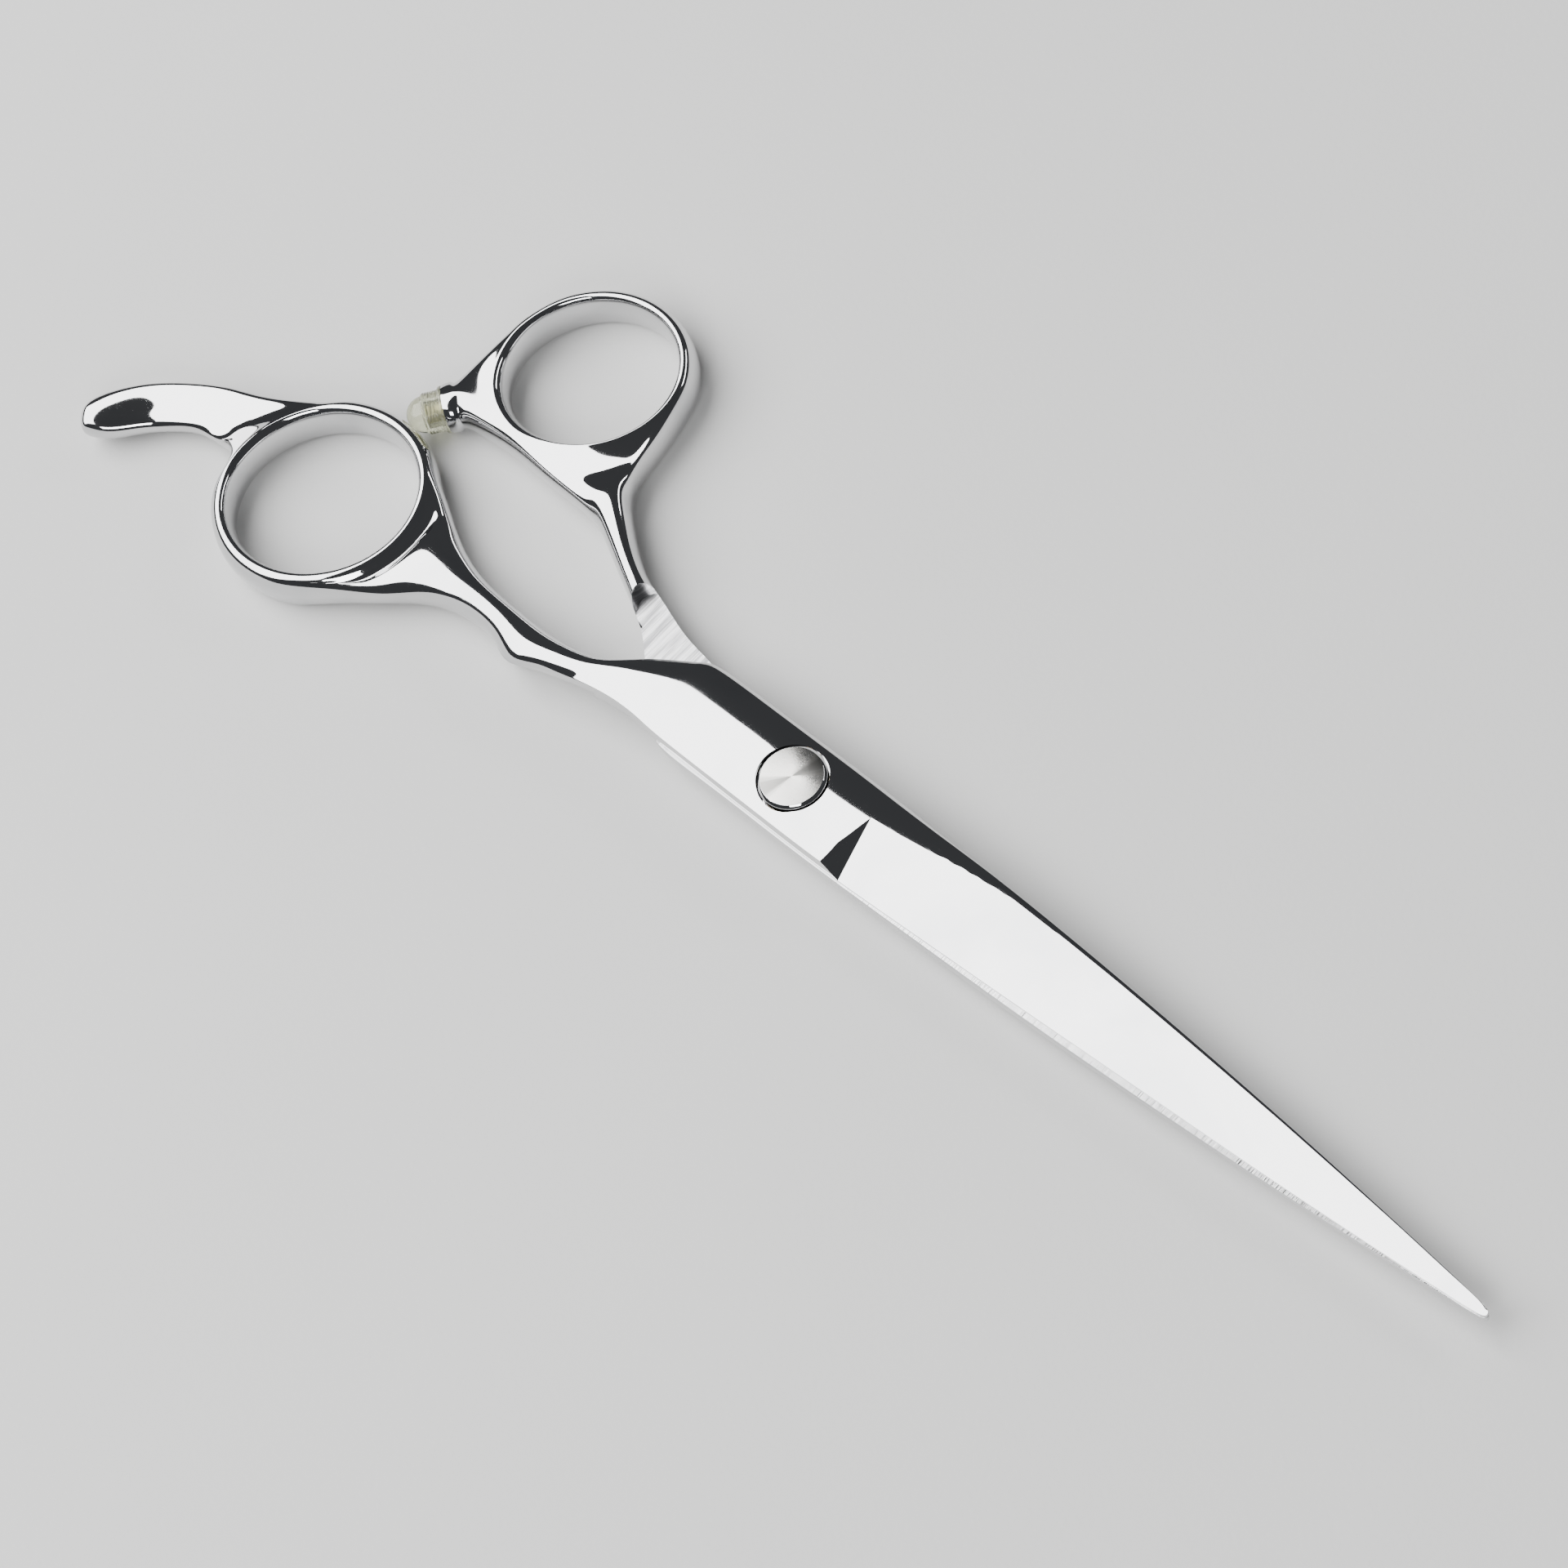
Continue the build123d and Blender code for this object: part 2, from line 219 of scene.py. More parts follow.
steel = Finish("polished_steel")
marks = steel.noise(60, detail=5.0, roughness=0.6, distortion=0.6)
haze = marks.between(0.45, 0.75)
scratches = (
    hairlines(steel, 9000, 4, 0.66) + hairlines(steel, 7000, -31, 0.68) + hairlines(steel, 8000, 74, 0.70)
)
waves = steel.noise(140, detail=1.0)
polished_steel = steel.surface(
    Base_Color=steel.mix(haze, (0.63, 0.63, 0.635, 1), (0.55, 0.555, 0.565, 1)),
    Metallic=1.0,
    Roughness=0.04 + 0.05 * haze + 0.10 * scratches.clamp(),
    Normal=steel.bump(waves * 0.6 + scratches * -0.004, 0.00002),
)
print("polished steel:", len(steel.tree.nodes), "nodes")

# %% [markdown]
# ## Ground steel
# The face where the halves ride, which shows at the neck of the thumb half, isn't polished. It keeps the
# fine parallel lines of the grinding wheel, so it scatters light across those lines and looks satin. Along
# the blade the same face is polished, so the finish changes over at the heel.

# %% Make the ground steel
ground = Finish("ground_steel")
grind_coarse = ground.noise(1700, detail=4.0, roughness=0.7, stretch=(1, 0.035, 1), turn=38)
grind_fine = ground.noise(9000, detail=2.0, stretch=(1, 0.02, 1), turn=34)
grind_shade = ground.noise(220, detail=2.0, stretch=(1, 0.25, 1), turn=38)
satin_end, polish_start = -0.018, -0.013
along_x = ground.add("ShaderNodeSeparateXYZ", sockets={"Vector": ground.position}, output="X")
polish = along_x.between(satin_end, polish_start)
satin_colour = ground.mix(grind_coarse.between(0.40, 0.60), (0.30, 0.30, 0.31, 1), (0.74, 0.74, 0.75, 1))
satin = 0.24 + 0.16 * grind_fine + 0.04 * grind_shade.between(0.4, 0.6)
ground_steel = ground.surface(
    Base_Color=ground.mix(polish, satin_colour, (0.62, 0.62, 0.625, 1)),
    Metallic=1.0,
    Roughness=satin * (1 - polish) + polish * (0.07 + 0.03 * grind_fine),
    Normal=ground.bump(grind_coarse + 0.5 * grind_fine, 0.00003),
)
print("ground steel:", len(ground.tree.nodes), "nodes")

# %% [markdown]
# ## How the halves are shaped
# A forged half flows from a flat blade into an oval shank and a ring, with no seam. A subdivision surface
# does the same: a coarse cage of four-sided faces is smoothed into one curved skin. Smoothing also shrinks
# the cage away from the points that were drawn, so a small loop pushes the cage out again until the smooth
# skin passes through every point. Then the drawn points are the real sizes of the tool.


# %% The cage
class Cage:
    """Points in mm and faces, built from closed loops of points that are skinned to each other."""

    def __init__(self):
        self.points = []
        self.faces = []
        self.creases = {}

    def loop(self, points):
        first = len(self.points)
        self.points.extend(tuple(p) for p in points)
        return list(range(first, len(self.points)))

    def skin(self, a, b, creases=None):
        """Faces from loop a to loop b. creases gives the sharpness of the long edges, by their place in
        the loop."""
        for i in range(len(a)):
            j = (i + 1) % len(a)
            self.faces.append((a[i], a[j], b[j], b[i]))
        for i, sharp in (creases or {}).items():
            self.creases[frozenset((a[i], b[i]))] = sharp

    def crease_loop(self, a, sharp=1.0):
        for i in range(len(a)):
            self.creases[frozenset((a[i], a[(i + 1) % len(a)]))] = sharp


FIT_ROUNDS = 10
FIT_LEVEL = 2
SKIN_LEVEL = 3


def smooth_form(name, cage):
    """A mesh object: the cage's smooth skin, which passes through the cage's drawn points."""
    mesh = bpy.data.meshes.new(name)
    mesh.from_pydata([Vector(p) * MM for p in cage.points], [], cage.faces)
    bm = bmesh.new()
    bm.from_mesh(mesh)
    bmesh.ops.recalc_face_normals(bm, faces=bm.faces)
    layer = bm.edges.layers.float.new("crease_edge")
    for edge in bm.edges:
        pair = frozenset(v.index for v in edge.verts)
        edge[layer] = cage.creases.get(pair, 0.0)
    bm.to_mesh(mesh)
    bm.free()
    obj = bpy.data.objects.new(name, mesh)
    bpy.context.scene.collection.objects.link(obj)
    smoother = obj.modifiers.new("smooth", "SUBSURF")
    smoother.levels = FIT_LEVEL
    target = np.array(cage.points, float) * MM
    points = target.copy()
    for _ in range(FIT_ROUNDS):
        graph = bpy.context.evaluated_depsgraph_get()
        shown = obj.evaluated_get(graph).to_mesh()
        now = np.zeros(len(shown.vertices) * 3)
        shown.vertices.foreach_get("co", now)
        off = target - now.reshape(-1, 3)[: len(target)]
        points += off
        mesh.vertices.foreach_set("co", points.ravel())
        mesh.update()
    smoother.levels = SKIN_LEVEL
    apply_modifiers(obj)
    furthest = round(float(np.abs(off).max()) / MM, 3)
    print(name, "furthest from its drawn points:", furthest, "mm,", len(obj.data.polygons), "faces")
    return obj


def apply_modifiers(obj):
    graph = bpy.context.evaluated_depsgraph_get()
    final = bpy.data.meshes.new_from_object(obj.evaluated_get(graph))
    old = obj.data
    obj.modifiers.clear()
    obj.data = final
    bpy.data.meshes.remove(old)


# %% [markdown]
# ## Cross-sections
# Every cross-section has eighteen points: seven along the top, seven along the bottom and two on each side,
# so that any section can be skinned to the next one. A point is given by how far it is across the section
# and how high, both from 0 to 1. The plate's section has a rounded spine on one side, a long flat crown and
# a slope down to the edge side. The shank's section is an oval.

# %% Section shapes
SPAN = 6  # steps along the top of a section, and segments of the ring opening that a shank joins


def oval_section(span, fullness=2.3):
    """Points of an oval, as (across, high), from the first side over the top and back under."""
    count = 2 * (span + 3)
    turn = 360 / count
    points = []
    for i in range(count):
        angle = math.radians(90 + turn * (span / 2 - i))
        c, s = math.cos(angle), math.sin(angle)
        across = 0.5 + 0.5 * math.copysign(abs(c) ** (2 / fullness), c)
        high = 0.5 + 0.5 * math.copysign(abs(s) ** (2 / fullness), s)
        points.append((across, high))
    return points


plate_section = [
    (0.030, 0.66), (0.115, 0.85), (0.27, 0.955), (0.46, 1.0), (0.62, 1.0), (0.76, 0.985), (0.965, 0.80),
    (1.0, 0.66), (1.0, 0.14),
    (0.99, 0.0), (0.80, 0.0), (0.62, 0.0), (0.46, 0.0), (0.27, 0.0), (0.115, 0.0), (0.01, 0.0),
    (0.0, 0.14), (0.0, 0.40),
]
blade_section = [(0.015, 0.80), (0.05, 0.95), (0.25, 1.0)] + plate_section[3:]
plate_creases = {5: 0.5, 9: 1.0, 15: 1.0}


def mixed(first, second, share):
    return [(a + (c - a) * share, b + (d - b) * share) for (a, b), (c, d) in zip(first, second)]


def place_section(section, side_a, side_b, low_z, high_z):
    """The section's points in mm, between two points in plan and two heights."""
    a, b = Vector(side_a), Vector(side_b)
    return [(*(a + (b - a) * across), low_z + (high_z - low_z) * high) for across, high in section]


def turned_over(points):
    """The same section on the other half, which is the first one turned over about the blades' length."""
    half = len(points) // 2
    flipped = [(x, -y, 2 * ride_z - z) for x, y, z in points]
    return flipped[half:] + flipped[:half]


# %% [markdown]
# ## The blade and the pivot plate
# Both halves have the same blade. Its spine bows gently and its edge is nearly straight, and both are given
# as distances from the centre line at a few places along the blade. Between those places a smooth curve
# is read off.

# %% Blade outline
blade_x = [-16.0, -8.0, 0.0, 8.0, 16.0, 24.0, 33.0, 42.0, 51.0, 60.0, 69.0, 78.0, 86.0, 92.0, 95.6]
spine_at = [-20, -16, -8, 0, 10, 20, 30, 40, 50, 60, 70, 80, 90, 95, 97.2]
spine_y = [5.2, 5.35, 5.47, 5.5, 5.45, 5.2, 4.95, 4.6, 4.12, 3.55, 2.88, 2.08, 1.18, 0.68, 0.42]
edge_at = [-20, -16, -8, 0, 10, 20, 30, 40, 50, 60, 70, 80, 90, 95, 97.2]
edge_y = [5.0, 5.1, 5.2, 5.25, 5.2, 4.78, 4.35, 3.87, 3.36, 2.86, 2.32, 1.68, 0.96, 0.58, 0.38]
tip_thick = 0.9
tip_rounding = ((0.14, 0.5), (0.5, 0.86))  # distance back from the tip, share of the blade's width there
tip_low = 0.9  # thickness of those sections, as a share of tip_thick
plunge_x = 10.1  # where the bevel begins, at its crown
squared_x = 26.0


def read_off(x, at, values):
    """A smooth curve through the values: a cubic whose slope at each value comes from its neighbours."""
    at, values = np.array(at, float), np.array(values, float)
    slopes = np.gradient(values, at)
    i = int(np.clip(np.searchsorted(at, x) - 1, 0, len(at) - 2))
    step = at[i + 1] - at[i]
    t = (x - at[i]) / step
    return float(
        values[i] * (1 + 2 * t) * (1 - t) ** 2 + values[i + 1] * t * t * (3 - 2 * t)
        + step * (slopes[i] * t * (1 - t) ** 2 + slopes[i + 1] * t * t * (t - 1))
    )


def blade_high(x):
    """Thickness of the blade at x."""
    along = max(0.0, (x - plunge_x) / (tip_x - plunge_x))
    return plate_thick + (tip_thick - plate_thick) * along


def section_at(x):
    """The plate's rounded spine becomes the blade's square one between the plunge line and squared_x."""
    return mixed(plate_section, blade_section, min(1.0, max(0.0, (x - plunge_x) / (squared_x - plunge_x))))


def blade_sections(spare=0.0):
    """Sections from the tip back to the heel, for the upper half. spare is metal left below the ride face,
    for grinding away."""
    foot = upper_z - spare
    made = []
    for from_tip, share in tip_rounding:
        x = tip_x - from_tip
        spine = read_off(x, spine_at, spine_y) * share
        edge = -read_off(x, edge_at, edge_y) * share
        made.append(place_section(blade_section, (x, spine), (x, edge), foot, upper_z + tip_thick * tip_low))
    for x in reversed(blade_x):
        spine = read_off(x, spine_at, spine_y)
        edge = -read_off(x, edge_at, edge_y)
        made.append(place_section(section_at(x), (x, spine), (x, edge), foot, upper_z + blade_high(x)))
    return made


print("blade:", len(blade_sections()), "sections of", len(plate_section), "points")

# %% [markdown]
# ## A ring
# Each ring is oval in plan. Its own section is like a D: full and round outside, nearly straight inside with
# a small rolled rim, which is where the finger slides. A ring is twenty short segments, and where a shank,
# a finger rest or a boss grows out of it, a patch of its outer faces is left open.

# %% Ring cage
SEGMENTS = 20
oval_turn = math.radians(35)  # bearing of a ring's long axis
ring_mid_z = handle_high / 2
ring_section = [
    (0.09, -0.67), (-0.03, 0.0), (0.09, 0.67), (0.33, 0.94), (0.67, 0.86), (0.945, 0.38), (0.945, -0.38),
    (0.67, -0.86), (0.33, -0.94),
]
OUTER_TOP, OUTER_BOTTOM = 4, 7  # the section's points between which an opening is left


def oval_radius(angle, half_long, half_short):
    """Distance from the middle of an oval to its rim, in the direction angle."""
    c, s = math.cos(angle - oval_turn), math.sin(angle - oval_turn)
    return 1 / math.hypot(c / half_long, s / half_short)


def ring_points(centre, hole, wall, angle):
    """The ring's section at one angle. hole is the half lengths of the hole, wall the ring's thickness."""
    inner = oval_radius(angle, *hole)
    way = Vector((math.cos(angle), math.sin(angle)))
    half_high = handle_high / 2
    return [(*(centre + way * (inner + wall * u)), ring_mid_z + half_high * v) for u, v in ring_section]


def add_ring(cage, centre, hole, wall, first_angle, openings):
    """Adds a ring whose segments run clockwise from first_angle. Returns the edge loop of each opening, which
    is given as (first segment, number of segments)."""
    loops = []
    for i in range(SEGMENTS):
        angle = math.radians(first_angle - 360 / SEGMENTS * i)
        loops.append(cage.loop(ring_points(centre, hole, wall(i) if callable(wall) else wall, angle)))
    count = len(ring_section)
    for i in range(SEGMENTS):
        a, b = loops[i], loops[(i + 1) % SEGMENTS]
        cut = any((i - first) % SEGMENTS < many for first, many in openings)
        for k in range(count):
            if cut and OUTER_TOP <= k < OUTER_BOTTOM:
                continue
            m = (k + 1) % count
            cage.faces.append((a[k], a[m], b[m], b[k]))
    edges = []
    for first, many in openings:
        around = [loops[(first + n) % SEGMENTS] for n in range(many + 1)]
        top = [ring[OUTER_TOP] for ring in around]
        far = [around[-1][k] for k in range(OUTER_TOP + 1, OUTER_BOTTOM)]
        bottom = [ring[OUTER_BOTTOM] for ring in reversed(around)]
        near = [around[0][k] for k in range(OUTER_BOTTOM - 1, OUTER_TOP, -1)]
        edges.append(top + far + bottom + near)
    return edges


# %% [markdown]
# ## The finger half
# The upper half carries the finger ring. Behind the heel the plate narrows into a neck, drops to the level
# that the handles lie on, and opens out into the ring. Each station gives the outline's two sides in plan,
# the lowest and highest level there, and how far the flat plate has turned into an oval.

# %% Finger half: stations
finger_stations = [
    # side away from the edge, edge side, low, high, share of oval
    ((-18.6, 4.55), (-20.0, -4.85), upper_z, 6.60, 0.00),
    ((-21.4, 2.75), (-23.4, -4.95), upper_z, 6.60, 0.05),
    ((-24.3, 0.65), (-26.6, -5.40), upper_z, 6.55, 0.20),
    ((-27.6, -1.75), (-30.0, -6.20), 2.70, 6.48, 0.45),
    ((-31.8, -2.80), (-33.6, -7.35), 1.60, 6.35, 0.70),
    ((-36.2, -3.10), (-37.1, -8.35), 0.75, 6.15, 0.90),
    ((-41.0, -3.00), (-41.0, -7.20), 0.28, 5.90, 1.00),
    ((-46.0, -2.62), (-46.3, -7.00), 0.15, 5.75, 1.00),
    ((-50.8, -1.45), (-51.0, -8.45), 0.15, 5.62, 1.00),
    ((-55.0, 0.45), (-54.8, -11.20), 0.15, 5.58, 1.00),
]
finger_hole = (10.9, 10.1)
finger_wall = 2.4

rest_opening = (12, 3)  # first segment of the ring, number of segments
rest_stations = [
    # side towards +Y, side towards -Y, low, high
    ((-84.2, -0.75), (-85.6, -8.35), 0.75, 5.00),
    ((-88.8, -2.60), (-88.9, -8.80), 0.90, 4.90),
    ((-93.3, -5.05), (-92.0, -10.60), 0.90, 4.85),
    ((-97.3, -8.00), (-94.6, -13.00), 0.95, 4.85),
    ((-100.3, -11.40), (-96.8, -15.50), 1.00, 4.85),
    ((-101.6, -14.20), (-98.9, -16.80), 1.25, 4.60),
]
print(len(finger_stations), "stations to the ring,", len(rest_stations), "along the finger rest")


# %% Finger half: blank
def close_round(cage, loop, reach, push):
    """Closes the end of a limb with a smaller loop and a last face."""
    points = np.array([cage.points[i] for i in loop])
    middle = points.mean(0)
    inner = middle + (points - middle) * reach + np.array(push)
    end = cage.loop(inner)
    cage.skin(loop, end)
    cage.faces.append(tuple(end))


def add_body(cage, loops, creases):
    for a, b in zip(loops, loops[1:]):
        cage.skin(a, b, creases)


def web_loop(cage, inner, outer, share, dip):
    """A loop between the shank's last section and the opening in the ring, sunk by dip in its middle."""
    a = np.array([cage.points[i] for i in inner])
    b = np.array([cage.points[i] for i in outer])
    points = a + (b - a) * share
    span = (len(inner) - 6) // 2
    for i in range(span + 1):
        weight = math.sin(math.pi * (i + 0.001) / span) ** 0.8 if 0 < i < span else 0.0
        points[i][2] -= dip * weight
        points[2 * span + 2 - i][2] += dip * weight
    return cage.loop(points)


finger_cage = Cage()
blade_loops = [finger_cage.loop(points) for points in blade_sections()]
finger_cage.faces.append(tuple(blade_loops[0]))
neck_loops = []
for side_a, side_b, low, high, share in finger_stations:
    section = mixed(plate_section, oval_section(SPAN), share)
    neck_loops.append(finger_cage.loop(place_section(section, side_a, side_b, low, high)))
add_body(finger_cage, blade_loops + neck_loops[:3], plate_creases)
add_body(finger_cage, neck_loops[2:], {})
shank_edge, rest_edge = add_ring(
    finger_cage, finger_centre, finger_hole, finger_wall, first_angle=48, openings=[(0, SPAN), rest_opening]
)
web = web_loop(finger_cage, neck_loops[-1], shank_edge, share=0.5, dip=0.75)
finger_cage.skin(neck_loops[-1], web)
finger_cage.skin(web, shank_edge)

rest_section = [
    (0.15, 0.60), (0.42, 0.70), (0.68, 0.90), (0.87, 0.96), (0.98, 0.72), (0.98, 0.30),
    (0.84, 0.05), (0.62, 0.0), (0.38, 0.0), (0.16, 0.06), (0.02, 0.20), (0.02, 0.42),
]
rest_loops = []
rest_rounding = [0.0, 0.0, 0.0, 0.2, 0.6, 1.0]
for (side_a, side_b, low, high), share in zip(rest_stations, rest_rounding):
    section = mixed(rest_section, oval_section(rest_opening[1], fullness=2.6), share)
    rest_loops.append(finger_cage.loop(place_section(section, side_b, side_a, low, high)))
finger_cage.skin(rest_edge, rest_loops[0])
add_body(finger_cage, rest_loops, {})
close_round(finger_cage, rest_loops[-1], reach=0.5, push=(-0.30, -0.85, 0))
finger_form = smooth_form("finger_half_steel", finger_cage)

# %% [markdown]
# ## Camera
# The camera looks from beyond the blades, about two thirds of the way up to overhead, and leans over so that
# the tool runs from the rings at the upper left to the tips at the lower right.

# %% Camera
camera_azimuth, camera_elevation, camera_roll = -23.724, 58.246, -25.356
camera_far = 650
look_at = Vector((-2.00, -0.31, 3.4))
sensor_mm = 36
focal_share = 7494.5 / 1920

azimuth, elevation = math.radians(camera_azimuth), math.radians(camera_elevation)
back = Vector((
    math.cos(azimuth) * math.cos(elevation), math.sin(azimuth) * math.cos(elevation), math.sin(elevation)
))
right = (-back).cross(Vector((0, 0, 1))).normalized()
up = back.cross(right)
roll = math.radians(camera_roll)
screen_right = right * math.cos(roll) + up * math.sin(roll)
screen_up = up * math.cos(roll) - right * math.sin(roll)

lens = bpy.data.cameras.new("camera")
lens.sensor_width = sensor_mm
lens.lens = sensor_mm * focal_share
lens.clip_start, lens.clip_end = 0.01, 20
camera = bpy.data.objects.new("camera", lens)
camera.matrix_world = Matrix.Translation((look_at + back * camera_far) * MM) @ Matrix(
    (screen_right, screen_up, back)
).transposed().to_4x4()
bpy.context.scene.collection.objects.link(camera)
bpy.context.scene.camera = camera
print("camera at", [round(v, 4) for v in camera.location])

# %% [markdown]
# ## The thumb half
# The lower half is the same blade turned over, so its spine lies beside the other one's edge. Its shank
# rises from the plate, runs into the thumb ring, and throws a short round boss towards the other ring. The
# web between the boss and the ring is the same skin, pulled tight between their openings.

# %% Thumb half: stations
grinding_spare = 0.12  # metal that the skin has beyond the ride face, which is ground off again
thumb_stations = [
    # side towards +Y, side towards -Y, low, high, share of oval
    ((-19.2, 5.50), (-18.4, -3.90), 0.19, 3.75, 0.00),
    ((-22.4, 5.95), (-21.6, -1.45), 0.19, 4.00, 0.10),
    ((-25.8, 6.80), (-24.9, 1.10), 0.15, 4.50, 0.35),
    ((-28.8, 7.75), (-28.0, 3.60), 0.15, 5.23, 0.65),
    ((-31.9, 8.75), (-31.6, 5.45), 0.15, 5.68, 1.00),
    ((-35.6, 10.75), (-35.6, 7.35), 0.15, 5.71, 1.00),
    ((-39.0, 13.20), (-39.3, 9.15), 0.15, 5.68, 1.00),
    ((-41.9, 16.40), (-43.6, 10.50), 0.15, 5.63, 1.00),
]
thumb_hole = (9.9, 9.1)
thumb_wall = 2.1
boss_opening = (6, 4)  # first segment of the ring, number of segments
boss_root = {5: 2.4, 6: 3.0, 7: 3.4, 8: 3.5, 9: 3.1, 10: 2.5}  # segment of the ring: its wall in mm


def thumb_ring_wall(segment):
    """The ring thickens towards the root of the boss."""
    return boss_root.get(segment, thumb_wall)


bumper_turn = 232
bumper_way = Vector((math.cos(math.radians(bumper_turn)), math.sin(math.radians(bumper_turn)), 0))
bumper_side = Vector((0, 0, 1)).cross(bumper_way)
cap_low, cap_high = box_mm("bumper_cap")
dome_r = 2.1
collar_long = 2.5
boss_gap = 0.05
dome_centre = Vector((cap_low.x + dome_r, cap_low.y + dome_r, (cap_low.z + cap_high.z) / 2))
boss_face = dome_centre - bumper_way * (collar_long + boss_gap)
boss_r = 2.75
print("dome", tuple(round(v, 2) for v in dome_centre), "boss face", tuple(round(v, 2) for v in boss_face))


# %% Thumb half: blank
def boss_loop(back, radius, span, flare):
    """A round loop on the boss, back from its face, in the order of the opening it grows from. flare makes
    it wider in plan, towards the boss's root."""
    count = 2 * (span + 3)
    points = []
    for i in range(count):
        angle = math.radians(90 + 360 / count * (span / 2 - i))
        side = math.cos(angle) * (radius + flare)
        rise = Vector((0, 0, math.sin(angle) * radius))
        points.append(boss_face - bumper_way * back - bumper_side * side + rise)
    return points


thumb_cage = Cage()
blade_loops = [thumb_cage.loop(turned_over(points)) for points in blade_sections(grinding_spare)]
thumb_cage.faces.append(tuple(blade_loops[0]))
neck_loops = []
flat_section = [(1 - a, 1 - h) for a, h in plate_section[9:] + plate_section[:9]]
for side_a, side_b, low, high, share in thumb_stations:
    section = mixed(flat_section, oval_section(SPAN), share)
    neck_loops.append(thumb_cage.loop(place_section(section, side_a, side_b, low, high)))
turned_creases = {14: 0.5, 0: 1.0, 6: 1.0}
add_body(thumb_cage, blade_loops + neck_loops[:2], turned_creases)
add_body(thumb_cage, neck_loops[1:], {})
shank_edge, boss_edge = add_ring(
    thumb_cage, thumb_centre, thumb_hole, thumb_ring_wall, first_angle=12, openings=[(0, SPAN), boss_opening]
)
web = web_loop(thumb_cage, neck_loops[-1], shank_edge, share=0.5, dip=0.55)
thumb_cage.skin(neck_loops[-1], web)
thumb_cage.skin(web, shank_edge)

boss_rows = ((2.4, 2.70, 0.55), (1.2, 2.75, 0.15), (0.0, boss_r, 0.0))  # back from the face, radius, flare
boss_loops = [
    thumb_cage.loop(boss_loop(back, radius, boss_opening[1], flare)) for back, radius, flare in boss_rows
]
thumb_cage.skin(boss_edge, boss_loops[0])
add_body(thumb_cage, boss_loops, {})
thumb_cage.crease_loop(boss_loops[-1], sharp=0.9)
thumb_cage.faces.append(tuple(boss_loops[-1]))
thumb_form = smooth_form("thumb_half_steel", thumb_cage)

# %% [markdown]
# ## Grinding
# The smooth skins are the forgings. A maker then grinds them, and each grinding leaves a crisp border where
# it runs out into the forged surface. Here each grinding tool is a closed solid that is subtracted.


# %% Grinding tools
def tool(name, points, faces):
    mesh = bpy.data.meshes.new(name)
    mesh.from_pydata([Vector(p) * MM for p in points], [], faces)
    bm = bmesh.new()
    bm.from_mesh(mesh)
    bmesh.ops.triangulate(bm, faces=bm.faces)
    bmesh.ops.recalc_face_normals(bm, faces=bm.faces)
    bm.to_mesh(mesh)
    bm.free()
    obj = bpy.data.objects.new(name, mesh)
    bpy.context.scene.collection.objects.link(obj)
    return obj


def stacked_tool(name, rows):
    """A closed solid from rows of points: each row is a closed loop, and the first and last are capped."""
    count = len(rows[0])
    points = [p for row in rows for p in row]
    faces = [tuple(range(count)), tuple(range(len(points) - count, len(points)))]
    for i in range(len(rows) - 1):
        for k in range(count):
            m = (k + 1) % count
            faces.append((i * count + k, i * count + m, (i + 1) * count + m, (i + 1) * count + k))
    return tool(name, points, faces)


def turned_tool(name, profile, centre=(0, 0), steps=96, lean=None):
    """A turned solid about an upright axis, from (radius, height) pairs. lean tilts it about the point where
    its axis is at height 0."""
    rows = []
    for radius, z in profile:
        row = []
        for i in range(steps):
            angle = 2 * math.pi * i / steps
            row.append(Vector((radius * math.cos(angle), radius * math.sin(angle), z)))
        rows.append(row)
    turn = lean or Matrix.Identity(3)
    place = Vector((*centre, 0))
    return stacked_tool(name, [[place + turn @ p for p in row] for row in rows])


def grind(obj, *tools):
    for cutter in tools:
        cut = obj.modifiers.new(cutter.name, "BOOLEAN")
        cut.operation = "DIFFERENCE"
        cut.solver = "EXACT"
        cut.object = cutter
    apply_modifiers(obj)
    for cutter in tools:
        bpy.data.objects.remove(cutter)
    print(obj.name, "after", len(tools), "cuts:", len(obj.data.polygons), "faces")


# %% [markdown]
# ## The blade's bevel
# The long bevel starts at a crown line near the spine and falls to the cutting edge. At the pivot end the
# wheel runs out in a scoop, a narrow crescent that widens towards the edge. The tool is a lofted solid whose
# underside is the bevel and whose end is the scoop.

# %% Bevel tool
crown_x = [plunge_x, 14, 20, 28, 40]
crown_at = [0.33, 0.29, 0.19, 0.08, 0.03]
edge_x = [84, tip_x]
edge_left = [0.06, 0.5]  # share of the thickness that is left at the cutting edge
bevel_swell = 0.012
bevel_across = [
    -0.06, 0.0, 0.08, 0.16, 0.24, 0.33, 0.38, 0.44, 0.5, 0.56,
    0.62, 0.68, 0.74, 0.8, 0.86, 0.92, 0.96, 1.0, 1.06,
]
bevel_x = [14.0, 20.0, 28.0, 36.0, 44.0, 52.0, 60.0, 68.0, 76.0, 84.0, 90.0, 95.0, 97.0, 99.5]
scoop_sweep = 0.8  # how much further along the scoop is at the edge than at the crown
scoop_lean, edge_lean = 0.60, 0.26  # lean of its wall at the crown, and how much more at the edge
scoop_reach = 3.2  # the furthest that the wall leans back


def bevel_fall(x, across):
    """How far down the bevel a point is: 0 at the crown, 1 at the cutting edge."""
    crown = float(np.interp(x, crown_x, crown_at))
    return (across - crown) / (1 - crown)


def bevel_high(x, across):
    """Height of the bevel as a share of the blade's thickness."""
    fall = bevel_fall(x, across)
    left = float(np.interp(x, edge_x, edge_left))
    return 1 - (1 - left) * fall + bevel_swell * math.sin(math.pi * min(max(fall, 0), 1))


